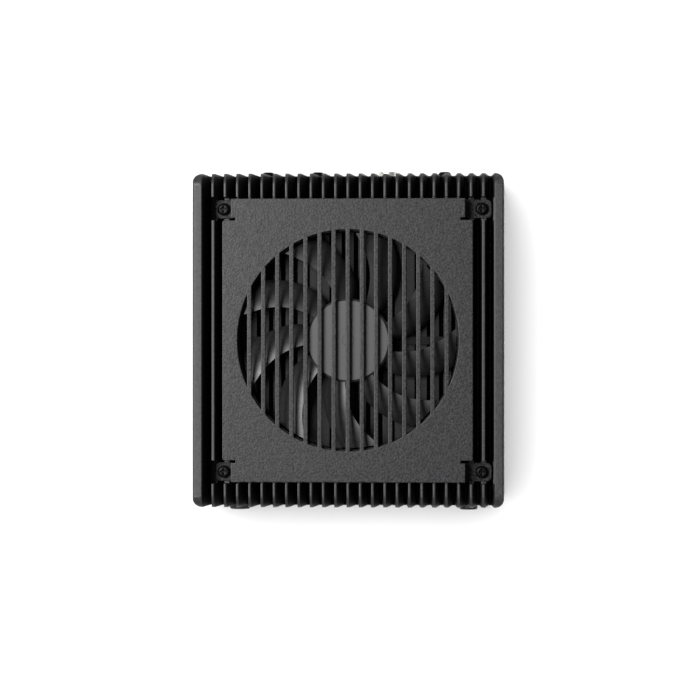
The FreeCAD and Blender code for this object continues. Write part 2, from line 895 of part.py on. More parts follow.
def make_fan_cover():
    """A slotted plate in the fins, with four lugs bent down to their seats."""
    owner = body("cover_sheet")
    plan = sketch_on(owner, "XY_Plane", "plate_z")
    side = "plate_half_x"
    notch = "plate_half_x - relief_depth"
    reach = "wing_half + relief_width"
    outline(plan, [
        (f"-({side})", "-plate_half_y"), (side, "-plate_half_y"),
        (side, f"-({reach})"), (notch, f"-({reach})"), (notch, "-wing_half"),
        ("wing_right", "-wing_half"), ("wing_right", "wing_half"),
        (notch, "wing_half"), (notch, reach), (side, reach),
        (side, "plate_half_y"), (f"-({side})", "plate_half_y"),
        (f"-({side})", reach), (f"-({notch})", reach), (f"-({notch})", "wing_half"),
        ("-wing_left", "wing_half"), ("-wing_left", "-wing_half"),
        (f"-({notch})", "-wing_half"), (f"-({notch})", f"-({reach})"),
        (f"-({side})", f"-({reach})"),
    ])
    pad(owner, plan, "plate_thick")

    opening = sketch_on(owner, "XY_Plane", "plate_z - 1")
    circle(opening, "0", "0", "grille_radius")
    pocket(owner, opening, "plate_thick + 2", reverse=True)

    bar = sketch_on(owner, "XY_Plane", "plate_z")
    first = "(bar_count - 1) / 2 * bar_pitch"
    rectangle(bar, f"-{first} - bar_width / 2", f"-{first} + bar_width / 2",
              "-grille_radius - weld", "grille_radius + weld")
    row_of(owner, pad(owner, bar, "plate_thick"), bar, "bar_count", "bar_pitch")

    wing_y = value("wing_half")
    inside = value("plate_half_x")
    parts = [round_edges("cover_wings", owner, "wing_round", (0, 0, 1),
                         lambda middle: abs(middle.x) > inside + NEAR
                         and abs(abs(middle.y) - wing_y) < NEAR)]
    for x_sign in (-1, 1):
        for y_sign in (-1, 1):
            parts += [lug_tab(x_sign, y_sign), lug_web(x_sign, y_sign)]
    holes = [rod("lug_hole", (x, y, "seat_z - 1"), "thread_bore", "plate_thick + 2")
             for x, y in lug_places()]
    node(cut("fan_cover", fuse("cover_with_lugs", parts), holes), "fan_cover")


def lug_tab(x_sign, y_sign):
    flat = lug_box("lug_flat", x_sign, y_sign, "0", ("seat_z", "seat_z + plate_thick"))
    outer = value("lug_left") - 1
    return round_edges("lug_tab", flat, "lug_radius", (0, 0, 1),
                       lambda middle: abs(middle.x) > outer)


def lug_web(x_sign, y_sign):
    inner, outer = "plate_half_x - plate_thick", "plate_half_x"
    x = (inner, outer) if x_sign > 0 else (f"-({outer})", f"-({inner})")
    y = ("lug_low_y", "lug_high_y") if y_sign > 0 else ("-(lug_high_y)", "-(lug_low_y)")
    return block("lug_web", x, y, ("seat_z", "plate_z + plate_thick"))


def make_pillars():
    """Threaded pillars that stand in the fins and carry the lugs."""
    pillars = []
    for x, y in lug_places():
        post = rod("pillar_post", (x, y, "groove_z - pillar_sink"), "pillar_radius",
                   "seat_z - groove_z + pillar_sink")
        bore = rod("pillar_bore", (x, y, "seat_z - pillar_bore"), "thread_bore", "pillar_bore + 1")
        pillars.append(cut("pillar", post, [bore]))
    node(group("cover_pillars", pillars), "cover_pillars")


# ---------------------------------------------------------------- fan

def make_fan_frame():
    owner = body("fan_housing")
    square = sketch_on(owner, "XY_Plane", "fan_z")
    rectangle(square, "-fan_size / 2", "fan_size / 2", "-fan_size / 2", "fan_size / 2")
    pad(owner, square, "fan_thick")

    bore = sketch_on(owner, "XY_Plane", "fan_z - 1")
    circle(bore, "0", "0", "fan_bore")
    pocket(owner, bore, "fan_thick + 2", reverse=True)

    strut = sketch_on(owner, "XY_Plane", "fan_z")
    rectangle(strut, "motor_radius - 1", "fan_bore + weld", "-strut_width / 2", "strut_width / 2")
    ring_of(owner, pad(owner, strut, "motor_thick"), strut, "strut_count")

    levels = [("motor_radius", "fan_z", "motor_z"),
              ("shoulder_radius", "motor_z", "motor_z + shoulder_height"),
              ("tube_foot_radius", "motor_z", "stator_z"),
              ("tube_radius", "motor_z", "motor_z + tube_height")]
    mount = [rod("motor_mount", ("0", "0", low), radius, f"({high}) - ({low})")
             for radius, low, high in levels]
    holes = [rod("fan_hole", (x, y, "fan_z - 1"), "fan_hole", "fan_thick + 2")
             for x, y in corners("fan_hole_pitch / 2", "fan_hole_pitch / 2")]
    holes.append(rod("bearing_hole", ("0", "0", "motor_z"), "bearing_radius", "tube_height + 1"))
    square_fan = cut("fan_solid", fuse("fan_whole", [owner] + mount), holes)
    half = value("fan_size / 2") - NEAR
    node(round_edges("fan_frame", square_fan, "fan_corner", (0, 0, 1),
                     lambda middle: abs(middle.x) > half and abs(middle.y) > half), "fan_frame")


def make_fan_gasket():
    """A thin foam frame between the fan and the cover plate."""
    half = "fan_size / 2"
    inner = "fan_size / 2 - gasket_width"
    outer = round_edges("gasket_outer",
                        block("gasket_block", (f"-({half})", half), (f"-({half})", half),
                              ("fan_top_z", "plate_z")), "fan_corner", (0, 0, 1))
    room = block("gasket_room", (f"-({inner})", inner), (f"-({inner})", inner),
                 ("fan_top_z - 1", "plate_z + 1"))
    opening = round_edges("gasket_opening", room, "fan_corner", (0, 0, 1))
    node(cut("fan_gasket", outer, [opening]), "fan_gasket")


def ring_node(name, outer, inner, low, high):
    """A plain ring round the fan's axis."""
    outside = rod(f"{name}_outer", ("0", "0", low), outer, f"({high}) - ({low})")
    inside = rod(f"{name}_inner", ("0", "0", f"{low} - 1"), inner, f"({high}) - ({low}) + 2")
    return node(cut(name, outside, [inside]), name)


def make_motor():
    ring_node("fan_bearing", "bearing_radius", "shaft_radius + running_gap", "bearing_z",
              "bearing_z + bearing_height")
    board_low = "motor_z + shoulder_height"
    ring_node("fan_circuit_board", "motor_board_radius", "tube_foot_radius + motor_board_gap", board_low,
              f"{board_low} + motor_board_thick")
    ring_node("rotor_magnet", "magnet_radius", "magnet_bore", "yoke_z - yoke_thick - magnet_height",
              "yoke_z - yoke_thick")
    ring_node("shaft_clip", "clip_radius", "shaft_radius", "bearing_z - clip_gap - clip_thick",
              "bearing_z - clip_gap")
    shaft = rod("fan_shaft", ("0", "0", "shaft_z"), "shaft_radius", "shaft_length")
    node(shaft, "fan_shaft")

    yoke = body("rotor_yoke")
    turned(yoke, [("boss_radius", "yoke_z - yoke_thick"), ("magnet_radius", "yoke_z - yoke_thick"),
                  ("magnet_radius", "skirt_z + yoke_lift"), ("yoke_radius", "skirt_z + yoke_lift"),
                  ("yoke_radius", "yoke_z"), ("boss_radius", "yoke_z")])
    node(yoke, "rotor_yoke")

    top = "stator_z + stator_height"
    core = rod("core_disc", ("0", "0", "stator_z"), "stator_radius", "stator_height")
    inside = rod("core_bore", ("0", "0", "stator_z - 1"), "tube_radius", "stator_height + 2")
    near, far = "tube_radius + core_rim", "stator_radius - core_rim"
    windows = []
    for x_sign in (-1, 1):
        for y_sign in (-1, 1):
            x = ("pole_width / 2", far) if x_sign > 0 else (f"-({far})", "-pole_width / 2")
            y = ("pole_width / 2", far) if y_sign > 0 else (f"-({far})", "-pole_width / 2")
            windows.append(block("winding_room", x, y, ("stator_z - 1", f"{top} + 1")))
    ring = rod("core_ring", ("0", "0", "stator_z"), near, "stator_height")
    solid = fuse("core_whole", [cut("core_cross", core, windows), ring])
    node(cut("stator_core", solid, [inside]), "stator_core")

    coils = []
    wide, thick = "pole_width / 2", "coil_thick"
    for along in ("x", "y"):
        for sign in (-1, 1):
            run = (near, far) if sign > 0 else (f"-({far})", f"-({near})")
            side = (f"-{wide} - {thick}", f"{wide} + {thick}")
            pole = (f"-{wide}", wide)
            outer = (run, side) if along == "x" else (side, run)
            inner = (run, pole) if along == "x" else (pole, run)
            wound = block("coil_block", *outer, (f"stator_z - {thick} / 2", f"{top} + {thick}"))
            coils.append(cut("coil", wound, [block("coil_room", *inner, ("stator_z", top))]))
    node(group("stator_coils", coils), "stator_coils")


# Plan of one blade whose middle points along +X, for a blade that reaches 43.8 mm: the distance
# along X, then the Y of its leading edge (high) and of its trailing edge (low).
BLADE_REACH = 43.8
BLADE_STATIONS = [
    (11.5, -4.0, -9.3),
    (18.5, -4.5, -13.9),
    (27.7, -4.1, -14.8),
    (36.0, -0.9, -13.3),
    (47.0, 7.4, -7.4),
]


LEAD_SHARE = 0.5  # how far the section's middle point lies from the trailing to the leading edge
CROWN_SHARE = 0.67  # how high that point is, so that the blade is flattest at its leading edge


def blade_section(station, scale):
    """The curved section of a blade in the plane at one station."""
    x, lead, trail = station
    high = value("hub_z - blade_sink")
    low = high - value("blade_height")
    thick = value("blade_thick")
    middle_y = lead * LEAD_SHARE + trail * (1 - LEAD_SHARE)
    middle = Vector(x * scale, middle_y * scale, low + (high - low) * CROWN_SHARE)
    upper = [Vector(x * scale, trail * scale, low + thick),
             middle + Vector(0, 0, thick),
             Vector(x * scale, lead * scale, high)]
    lower = [point - Vector(0, 0, thick) for point in reversed(upper)]
    edges = [Part.Arc(*upper).toShape(), Part.LineSegment(upper[-1], lower[0]).toShape(),
             Part.Arc(*lower).toShape(), Part.LineSegment(lower[-1], upper[0]).toShape()]
    return Part.Wire(edges)


def make_impeller():
    """The fan's cup-shaped hub with a ring of swept blades."""
    hub = body("fan_hub")
    turned(hub, [
        ("shaft_radius", "yoke_z - boss_height"), ("boss_radius", "yoke_z - boss_height"),
        ("boss_radius", "yoke_z"), ("yoke_radius", "yoke_z"), ("yoke_radius", "skirt_z"),
        ("hub_radius", "skirt_z"), ("hub_radius", "hub_z - hub_round"),
        ("hub_radius - hub_round", "hub_z"), ("0", "hub_z"), ("0", "yoke_z + shaft_sink"),
        ("shaft_radius", "yoke_z + shaft_sink"),
    ])
    doc.recompute()
    scale = value("tip_radius") / BLADE_REACH
    swept = Part.makeLoft([blade_section(station, scale) for station in BLADE_STATIONS], True)
    low = value("hub_z - blade_sink - blade_height - blade_thick")
    tall = value("blade_height + 3 * blade_thick")
    ring = Part.makeCylinder(value("tip_radius"), tall, Vector(0, 0, low))
    ring = ring.cut(Part.makeCylinder(value("hub_radius - weld"), tall, Vector(0, 0, low)))
    blade = swept.common(ring)
    count = int(value("blade_count"))
    axis = Vector(0, 0, 1)
    blades = [blade.rotated(Vector(), axis, 360 * index / count) for index in range(count)]
    impeller = doc.addObject("Part::Feature", "fan_impeller")
    impeller.Shape = hub.Shape.fuse(blades)
    impeller.Placement = Placement()
    node(impeller, "fan_impeller")


# ---------------------------------------------------------------- fan lead

def make_lead():
    """The fan's lead, which drops through the base to its header on the board."""
    x, y = "lead_x", "lead_y"
    half_x, half_y = "header_length / 2", "header_width / 2"
    floor = "board_top_z + header_base"
    base = block("header_floor", (f"{x} - {half_x}", f"{x} + {half_x}"),
                 (f"{y} - {half_y}", f"{y} + {half_y}"), ("board_top_z", floor))
    wall = block("header_back", (f"{x} - {half_x}", f"{x} + {half_x}"),
                 (f"{y} + {half_y} - header_wall", f"{y} + {half_y}"),
                 ("board_top_z", "board_top_z + header_height"))
    node(fuse("fan_header", [base, wall]), "fan_header")
    node(block("fan_plug", (f"{x} - {half_x} + header_wall / 2", f"{x} + {half_x} - header_wall / 2"),
               (f"{y} - {half_y}", f"{y} + {half_y} - header_wall"),
               (floor, f"{floor} + plug_height")), "fan_plug")
    node(rod("fan_lead", (x, y, f"{floor} + plug_height"), "lead_radius",
             f"fan_z - ({floor} + plug_height)"), "fan_lead")


# ---------------------------------------------------------------- main board

def make_board():
    plate = block("board_plate", ("-board_half_x", "board_half_x"),
                  ("-board_half_y", "board_half_y"), ("board_z", "board_top_z"))
    holes = [rod("board_hole", (x, y, "board_z - 1"), "thread_bore", "board_thick + 2")
             for x, y in corners("post_x", "post_y")]
    node(cut("mainboard", plate, holes), "mainboard")

    posts = []
    for x, y in corners("post_x", "post_y"):
        post = rod("post_body", (x, y, "board_top_z"), "post_radius", "board_drop")
        stud = rod("post_stud", (x, y, "ceiling_z - weld"), "screw_radius", "post_stud + weld")
        bore = rod("post_bore", (x, y, "board_top_z - 1"), "thread_bore", "board_screw_length + 2")
        posts.append(cut("post", fuse("post_whole", [post, stud]), [bore]))
    node(group("board_posts", posts), "board_posts")
    copies("board_screws", screw("board_screw", "pan", "board_screw_length"),
           [(x, y, "board_z - pan_height") for x, y in corners("post_x", "post_y")], "-z")




def make_processor():
    """The processor, and the copper block that carries its heat to the base of the fins."""
    chip = centred("chip_size / 2")
    node(block("cpu_package", chip, chip, ("board_top_z", "chip_z")), "cpu_package")
    node(block("thermal_pad", chip, chip, ("chip_z", "block_z")), "thermal_pad")
    side = centred("block_size / 2")
    copper = block("copper_block", side, side, ("block_z", "ceiling_z"))
    holes = []
    for x, y in corners("block_screw", "block_screw"):
        holes.append(taper("block_sink", (x, y, "block_z"), "flat_radius", "thread_bore",
                           "flat_height"))
        holes.append(rod("block_clear", (x, y, "block_z"), "thread_bore",
                         "ceiling_z - block_z + 1"))
    node(cut("copper_heat_block", copper, holes), "copper_heat_block")
    long_screw = screw("block_screw", "flat",
                       "ceiling_z - block_z - flat_height + block_screw_depth")
    copies("heat_block_screws", long_screw,
           [(x, y, "block_z") for x, y in corners("block_screw", "block_screw")], "-z")


def make_memory():
    """A memory module in its socket on the underside of the board."""
    top = "board_z - memory_drop"
    low = f"{top} - memory_thick"
    half = "memory_width / 2"
    outer = f"{half} + socket_wide"
    span = (f"{low} - 1", "board_z")
    socket = [block("memory_back", centred(outer), ("memory_y", "memory_y + socket_long"), span)]
    for side in (-1, 1):
        x = (half, outer) if side > 0 else (f"-({outer})", f"-({half})")
        socket.append(block("memory_arm", x, ("memory_y - memory_length / 2", "memory_y + 1"),
                            span))
    slot = block("memory_slot", centred(f"{half} + slot_gap"),
                 ("memory_y - 1", "memory_y + slot_depth"),
                 (f"{low} - slot_gap", f"{top} + slot_gap"))
    arms_room = block("arm_room", centred(f"{half} + slot_gap"),
                      ("memory_y - memory_length", "memory_y"), span)
    node(cut("memory_socket", fuse("memory_socket_whole", socket), [slot, arms_room]),
         "memory_socket")

    parts = [block("memory_card", centred(half),
                   ("memory_y + slot_depth - memory_length", "memory_y + slot_depth"),
                   (low, top))]
    row = "memory_y - memory_length / 2"
    for index in range(int(value("memory_chip_count"))):
        middle = f"({index} - (memory_chip_count - 1) / 2) * memory_width / memory_chip_count"
        parts.append(block("memory_chip", beside(middle, "memory_chip_width"),
                           beside(row, "memory_chip_length"),
                           (f"{low} - card_chip_height", f"{low} + weld")))
    node(fuse("memory_module", parts), "memory_module")


def make_disk():
    """A solid-state disk in its socket on the underside of the board, with its end screw."""
    top = "board_z - disk_drop"
    low = f"{top} - disk_thick"
    end = "disk_length / 2"
    y = ("disk_y - disk_width / 2", "disk_y + disk_width / 2")
    back = block("disk_back", (f"-({end}) - disk_socket + slot_depth", f"-({end}) + slot_depth"),
                 y, (f"{low} - disk_socket_floor", "board_z"))
    slot = block("disk_slot", (f"-({end})", f"-({end}) + slot_depth + 1"),
                 ("disk_y - disk_width / 2 - 1", "disk_y + disk_width / 2 + 1"), (low, top))
    node(cut("disk_socket", back, [slot]), "disk_socket")

    card = [block("disk_card", (f"-({end})", end), y, (low, top))]
    for share in ("-0.22", "0.06", "0.28"):
        card.append(block("disk_chip", beside(f"{share} * disk_length", "disk_chip_length"),
                          beside("disk_y", "disk_chip_width"),
                          (f"{low} - card_chip_height", f"{low} + weld")))
    notch = rod("disk_notch", (end, "disk_y", f"{low} - 1"), "thread_bore", "disk_thick + 2")
    node(cut("disk_module", fuse("disk_whole", card), [notch]), "disk_module")

    post = rod("disk_post_body", (end, "disk_y", top), "disk_post_radius", "disk_drop")
    bore = rod("disk_post_bore", (end, "disk_y", f"{top} - 1"), "thread_bore", "disk_drop + 2")
    node(cut("disk_post", post, [bore]), "disk_post")
    copies("disk_screw", screw("end_screw", "pan", "disk_thick + disk_drop"),
           [(end, "disk_y", f"{low} - pan_height")], "-z")


def make_cell():
    room = "cell_radius + cell_gap"
    outer = f"{room} + holder_wall"
    x = (f"cell_x - ({outer})", f"cell_x + {outer}")
    y = (f"cell_y - ({outer})", f"cell_y + {outer}")
    holder = block("holder_block", x, y, ("board_top_z", "board_top_z + cell_thick"))
    floor = "board_top_z + holder_floor"
    well = rod("holder_well", ("cell_x", "cell_y", floor), room, "cell_thick")
    node(cut("coin_cell_holder", holder, [well]), "coin_cell_holder")
    node(rod("coin_cell", ("cell_x", "cell_y", floor), "cell_radius", "cell_thick"), "coin_cell")


def make_small_parts():
    chips = []
    for x in lan_places():
        low, high = inward(-1, "lan_depth + lan_chip_setback",
                           "lan_depth + lan_chip_setback + lan_chip_size")
        chips.append(block("lan_chip", (f"{x} - lan_chip_size / 2", f"{x} + lan_chip_size / 2"),
                           (low, high), ("board_top_z", "board_top_z + lan_chip_height")))
    node(group("network_chips", chips), "network_chips")

    chokes = []
    cans = []
    count = int(value("choke_count"))
    for index in range(count):
        y = f"({index} - {count - 1} / 2) * choke_pitch"
        half = "choke_size / 2"
        chokes.append(block("choke", (f"choke_x - {half}", f"choke_x + {half}"),
                            (f"{y} - {half}", f"{y} + {half}"),
                            ("board_top_z", "board_top_z + choke_height")))
        cans.append(rod("capacitor", ("capacitor_x", y, "board_top_z"), "capacitor_radius",
                        "capacitor_height"))
    node(group("power_chokes", chokes), "power_chokes")
    node(group("capacitors", cans), "capacitors")


# ---------------------------------------------------------------- ports

def lan_places():
    return [f"lan_x + {index} * lan_pitch" for index in range(int(value("lan_count")))]


def usb_places():
    return ["usb_first_x", "usb_second_x", "usb_third_x"]


def video_places():
    return ["video_first_x", "video_second_x"]


def lamp_places():
    return ["lamp_x", "lamp_x + lamp_pitch"]


def make_lan_jacks():
    """A ganged block of network jacks, each mouth with a notch over it for the latch."""
    places = lan_places()
    shell = block("jack_shell", (f"{places[0]} - lan_width / 2", f"{places[-1]} + lan_width / 2"),
                  inward(-1, "-port_lip", "lan_depth"),
                  ("board_top_z", "board_top_z + lan_height"))
    floor = "board_top_z + lan_mouth_rise"
    depth = inward(-1, "-port_lip - 1", "lan_mouth_depth")
    mouths = []
    for x in places:
        mouths.append(block("jack_mouth", beside(x, "lan_mouth_width"), depth,
                            (floor, f"{floor} + lan_mouth_height")))
        mouths.append(block("jack_latch", beside(x, "lan_latch_width"), depth,
                            (floor, f"{floor} + lan_mouth_height + lan_latch_height")))
    node(cut("jacks_cut", shell, mouths), "lan_jacks")


def make_usb_ports():
    """Ports in the rear panel, and the insulators in them."""
    low = "board_top_z + usb_rise"
    tongues = []
    for number, x in enumerate(usb_places(), start=1):
        name = f"usb_port_{number}"
        shell = block(f"{name}_shell", beside(x, "usb_width"), inward(1, "-port_lip", "usb_depth"),
                      (low, f"{low} + usb_height"))
        foot = block(f"{name}_foot", beside(x, "usb_width"),
                     inward(1, "panel_thick + 1", "usb_depth"),
                     ("board_top_z", f"{low} + shell_wall / 2"))
        room_x = beside(x, "usb_width - 2 * shell_wall")
        room_z = (f"{low} + shell_wall", f"{low} + usb_height - shell_wall")
        room = block(f"{name}_room", room_x, inward(1, "-port_lip - 1", "usb_depth - shell_wall"),
                     room_z)
        node(fuse(f"{name}_whole", [cut(f"{name}_cup", shell, [room]), foot]), name)
        back = block("tongue_back", room_x,
                     inward(1, "usb_depth - usb_tongue_back", "usb_depth - shell_wall"), room_z)
        top = f"{low} + usb_height - shell_wall - usb_tongue_drop"
        blade = block("tongue_blade", beside(x, "usb_tongue_width"),
                      inward(1, "tongue_setback", "usb_depth - usb_tongue_back + 1"),
                      (f"{top} - usb_tongue_thick", top))
        tongues.append(fuse("tongue", [back, blade]))
    return tongues


def video_outline(x, inset):
    """The outline of a video port in X and Z, with its lower corners cut off."""
    half = f"(video_width / 2 - ({inset}))"
    low = f"(board_top_z + video_rise + ({inset}))"
    top = f"(board_top_z + video_rise + video_height - ({inset}))"
    return [(f"{x} - {half}", top), (f"{x} - {half}", f"{low} + video_slope"),
            (f"{x} - {half} + video_slope", low), (f"{x} + {half} - video_slope", low),
            (f"{x} + {half}", f"{low} + video_slope"), (f"{x} + {half}", top)]


def make_video_ports():
    face = "-(half_depth + port_lip)"
    tongues = []
    for number, x in enumerate(video_places(), start=1):
        name = f"video_port_{number}"
        owner = body(f"{name}_shell")
        outer = sketch_on(owner, "XZ_Plane", face)
        outline(outer, video_outline(x, "0"))
        pad(owner, outer, "video_depth + port_lip")
        inner = sketch_on(owner, "XZ_Plane", face)
        outline(inner, video_outline(x, "shell_wall"))
        pocket(owner, inner, "2 * (video_depth + port_lip - shell_wall)", middle=True)
        foot = block(f"{name}_foot", beside(x, "video_width - 2 * video_slope"),
                     inward(1, "panel_thick + 1", "video_depth"),
                     ("board_top_z", "board_top_z + video_rise + shell_wall / 2"))
        node(fuse(f"{name}_whole", [owner, foot]), name)
        middle = "board_top_z + video_rise + video_tongue_rise"
        tongues.append(block("video_tongue", beside(x, "video_tongue_width"),
                             inward(1, "tongue_setback", "video_depth - shell_wall"),
                             (f"{middle} - video_tongue_thick / 2",
                              f"{middle} + video_tongue_thick / 2")))
    return tongues


def make_small_usb():
    low = "board_top_z + video_rise"
    round_by = "(small_usb_height / 2 - thread_gap)"
    shell = block("small_shell", beside("small_usb_x", "small_usb_width"),
                  inward(1, "-port_lip", "small_usb_depth"), (low, f"{low} + small_usb_height"))
    rounded = round_edges("small_round", shell, round_by, (0, 1, 0))
    room = block("small_room", beside("small_usb_x", "small_usb_width - 2 * shell_wall"),
                 inward(1, "-port_lip - 1", "small_usb_depth - shell_wall"),
                 (f"{low} + shell_wall", f"{low} + small_usb_height - shell_wall"))
    opening = round_edges("small_opening", room, f"{round_by} - shell_wall", (0, 1, 0))
    foot = block("small_foot", beside("small_usb_x", "small_usb_width / 2"),
                 inward(1, "panel_thick + 1", "small_usb_depth"),
                 ("board_top_z", f"{low} + shell_wall / 2"))
    node(fuse("usb_c_port", [cut("small_cup", rounded, [opening]), foot]), "usb_c_port")


def make_power_inlet():
    x, z = "inlet_x", "board_top_z + inlet_height / 2"
    case = block("inlet_case", beside(x, "inlet_width"),
                 inward(1, "panel_thick + board_end_gap", "inlet_depth"),
                 ("board_top_z", "board_top_z + inlet_height"))
    barrel = rod("inlet_barrel", (x, "half_depth + reach", z), "inlet_radius",
                 "reach + inlet_depth - 1", "-y")
    bore = rod("inlet_bore", (x, "half_depth + reach + 1", z), "inlet_bore",
               "1 + inlet_bore_depth", "-y")
    cup = cut("inlet_cup", fuse("inlet_whole", [case, barrel]), [bore])
    pin = rod("inlet_pin", (x, "half_depth + reach - inlet_pin_setback", z),
              "inlet_pin", "inlet_bore_depth", "-y")
    node(fuse("inlet_with_pin", [cup, pin]), "power_inlet")


# ---------------------------------------------------------------- front controls

def make_antenna_plug():
    """A soft plug in the spare antenna hole."""
    owner = body("antenna_plug")
    end = "panel_thick + barb_length"
    turned(owner, [
        ("0", "-reach"), ("antenna_radius - antenna_bevel", "-reach"),
        ("antenna_radius", "-reach + antenna_bevel"),
        ("antenna_radius", "0"), ("antenna_hole", "0"), ("antenna_hole", "panel_thick"),
        ("antenna_barb", "panel_thick"), ("antenna_barb - barb_taper", end), ("0", end),
    ])
    node(put(owner, ("antenna_x", "-half_depth", "control_z"), "y"), "antenna_plug")


def make_power_button():
    """A button behind a flange, the plunger that it pushes and the switch round the plunger."""
    flange = "panel_thick + button_gap"
    back = f"{flange} + flange_thick"
    rim = "button_radius - button_round - button_rim"
    owner = body("power_button")
    turned(owner, [
        ("0", "-reach + 2 * button_dish"), (f"{rim} - button_slope", "-reach + button_dish"),
        (rim, "-reach"), ("button_radius - button_round", "-reach"),
        ("button_radius", "-reach + button_round"), ("button_radius", flange),
        ("button_flange", flange),
        ("button_flange", back), ("0", back),
    ])
    node(put(owner, ("button_x", "-half_depth", "control_z"), "y"), "power_button")

    half = "plunger_half"
    across = (f"button_x - {half}", f"button_x + {half}")
    tall = (f"control_z - {half}", f"control_z + {half}")
    node(block("switch_plunger", across, inward(-1, back, f"{back} + plunger_length"), tall),
         "switch_plunger")

    front = f"{back} + plunger_show"
    case = block("switch_case", beside("button_x", "switch_size"),
                 inward(-1, front, f"{front} + switch_depth"),
                 ("board_top_z", "control_z + switch_size / 2"))
    gap = f"{half} + button_gap"
    room = block("switch_room", (f"button_x - ({gap})", f"button_x + {gap}"),
                 inward(-1, f"{front} - 1", f"{back} + plunger_length + 2 * button_travel"),
                 (f"control_z - ({gap})", f"control_z + {gap}"))
    node(cut("power_switch", case, [room]), "power_switch")


def make_lamps():
    pipes = [rod("lamp", (x, end_face(-1, "-port_lip"), "control_z"), "lamp_radius",
                 "lamp_length", "y") for x in lamp_places()]
    node(group("light_pipes", pipes), "light_pipes")


# ---------------------------------------------------------------- the whole computer

def make_computer():
    make_case()
    make_bottom_cover()
    make_feet()
    make_panels()
    make_fan_cover()
    make_pillars()
    make_fan_frame()
    make_fan_gasket()
    make_motor()
    make_impeller()
    make_lead()
    make_board()
    make_processor()
    make_memory()
    make_disk()
    make_cell()
    make_small_parts()
    make_lan_jacks()
    node(group("tongue_group", make_usb_ports() + make_video_ports()), "port_tongues")
    make_small_usb()
    make_power_inlet()
    make_antenna_plug()
    make_power_button()
    make_lamps()
    make_screws()


def check_and_write():
    """Stop if anything failed, then write each sub-part to its own file."""
    doc.recompute()
    for thing in doc.Objects:
        if "Invalid" in thing.State or "Error" in thing.State:
            raise RuntimeError(f"{thing.Name} ({thing.Label}) did not recompute: {thing.State}")
    for thing in nodes:
        if thing.Shape.isNull() or not thing.Shape.isValid():
            raise RuntimeError(f"{thing.Label} has no valid shape")
    os.makedirs("parts", exist_ok=True)
    for thing in nodes:
        thing.Shape.exportStep(os.path.join("parts", f"{thing.Label}.step"))
        print(f"{thing.Label}: {len(thing.Shape.Solids)} solids, {thing.Shape.Volume:.1f} mm3")
    print(len(nodes), "sub-parts")


make_computer()
check_and_write()
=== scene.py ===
import json
import math

import bmesh
import bpy
from mathutils import Matrix, Vector


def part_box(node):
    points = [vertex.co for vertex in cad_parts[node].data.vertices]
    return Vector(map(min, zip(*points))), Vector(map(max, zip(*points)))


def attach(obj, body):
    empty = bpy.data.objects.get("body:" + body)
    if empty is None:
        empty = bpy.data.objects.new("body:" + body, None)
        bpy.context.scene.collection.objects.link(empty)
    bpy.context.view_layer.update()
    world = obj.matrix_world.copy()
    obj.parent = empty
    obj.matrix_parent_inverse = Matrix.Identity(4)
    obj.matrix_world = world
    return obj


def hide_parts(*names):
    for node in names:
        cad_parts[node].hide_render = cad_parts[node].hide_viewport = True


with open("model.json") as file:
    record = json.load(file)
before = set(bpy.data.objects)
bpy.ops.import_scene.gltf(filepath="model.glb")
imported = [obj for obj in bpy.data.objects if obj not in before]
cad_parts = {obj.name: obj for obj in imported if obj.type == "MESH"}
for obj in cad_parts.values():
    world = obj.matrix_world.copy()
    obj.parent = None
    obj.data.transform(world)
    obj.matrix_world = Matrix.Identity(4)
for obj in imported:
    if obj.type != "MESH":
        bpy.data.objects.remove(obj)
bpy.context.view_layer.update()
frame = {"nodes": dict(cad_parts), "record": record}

# A compact industrial computer seen from straight above: a black finned case, a grey slotted
# cover over its fan, and ports in its end panels.  Metres, in the frame's own axes.

MM = 0.001
nodes = frame["nodes"]


def box(name):
    """The lowest and highest corner of a CAD node."""
    low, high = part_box(name)
    return Vector(low), Vector(high)


# ---------------------------------------------------------------- materials

FINISH = "_finish"


def new_material(name):
    material = bpy.data.materials.new(name + FINISH)
    material.use_nodes = True
    tree = material.node_tree
    return material, tree, tree.nodes["Principled BSDF"]


def noise(tree, scale, detail=2.0, stretch=(1, 1, 1)):
    """Noise in the object's own metres; a stretch below one draws it out along that axis."""
    place = tree.nodes.new("ShaderNodeTexCoord")
    mapping = tree.nodes.new("ShaderNodeMapping")
    mapping.inputs["Scale"].default_value = stretch
    grain = tree.nodes.new("ShaderNodeTexNoise")
    grain.inputs["Scale"].default_value = scale
    grain.inputs["Detail"].default_value = detail
    tree.links.new(place.outputs["Object"], mapping.inputs["Vector"])
    tree.links.new(mapping.outputs["Vector"], grain.inputs["Vector"])
    return grain.outputs["Fac"]


def ramp(tree, factor, stops):
    """A colour ramp through (position, colour) stops."""
    node = tree.nodes.new("ShaderNodeValToRGB")
    elements = node.color_ramp.elements
    while len(elements) < len(stops):
        elements.new(0.5)
    for element, (position, colour) in zip(elements, stops):
        element.position = position
        element.color = (*colour, 1.0)
    tree.links.new(factor, node.inputs["Fac"])
    return node.outputs["Color"]


def spread(tree, factor, low, high):
    """The middle of a noise's range, mapped to run from low to high."""
    node = tree.nodes.new("ShaderNodeMapRange")
    node.inputs["From Min"].default_value = 0.3
    node.inputs["From Max"].default_value = 0.7
    node.inputs["To Min"].default_value = low
    node.inputs["To Max"].default_value = high
    tree.links.new(factor, node.inputs["Value"])
    return node.outputs["Result"]


def bump(tree, shader, height, depth, strength=1.0, below=None):
    """Relief of a depth in millimetres, on top of another relief if there is one."""
    node = tree.nodes.new("ShaderNodeBump")
    node.inputs["Strength"].default_value = strength
    node.inputs["Distance"].default_value = depth * MM
    tree.links.new(height, node.inputs["Height"])
    if below is not None:
        tree.links.new(below, node.inputs["Normal"])
    tree.links.new(node.outputs["Normal"], shader.inputs["Normal"])
    return node.outputs["Normal"]


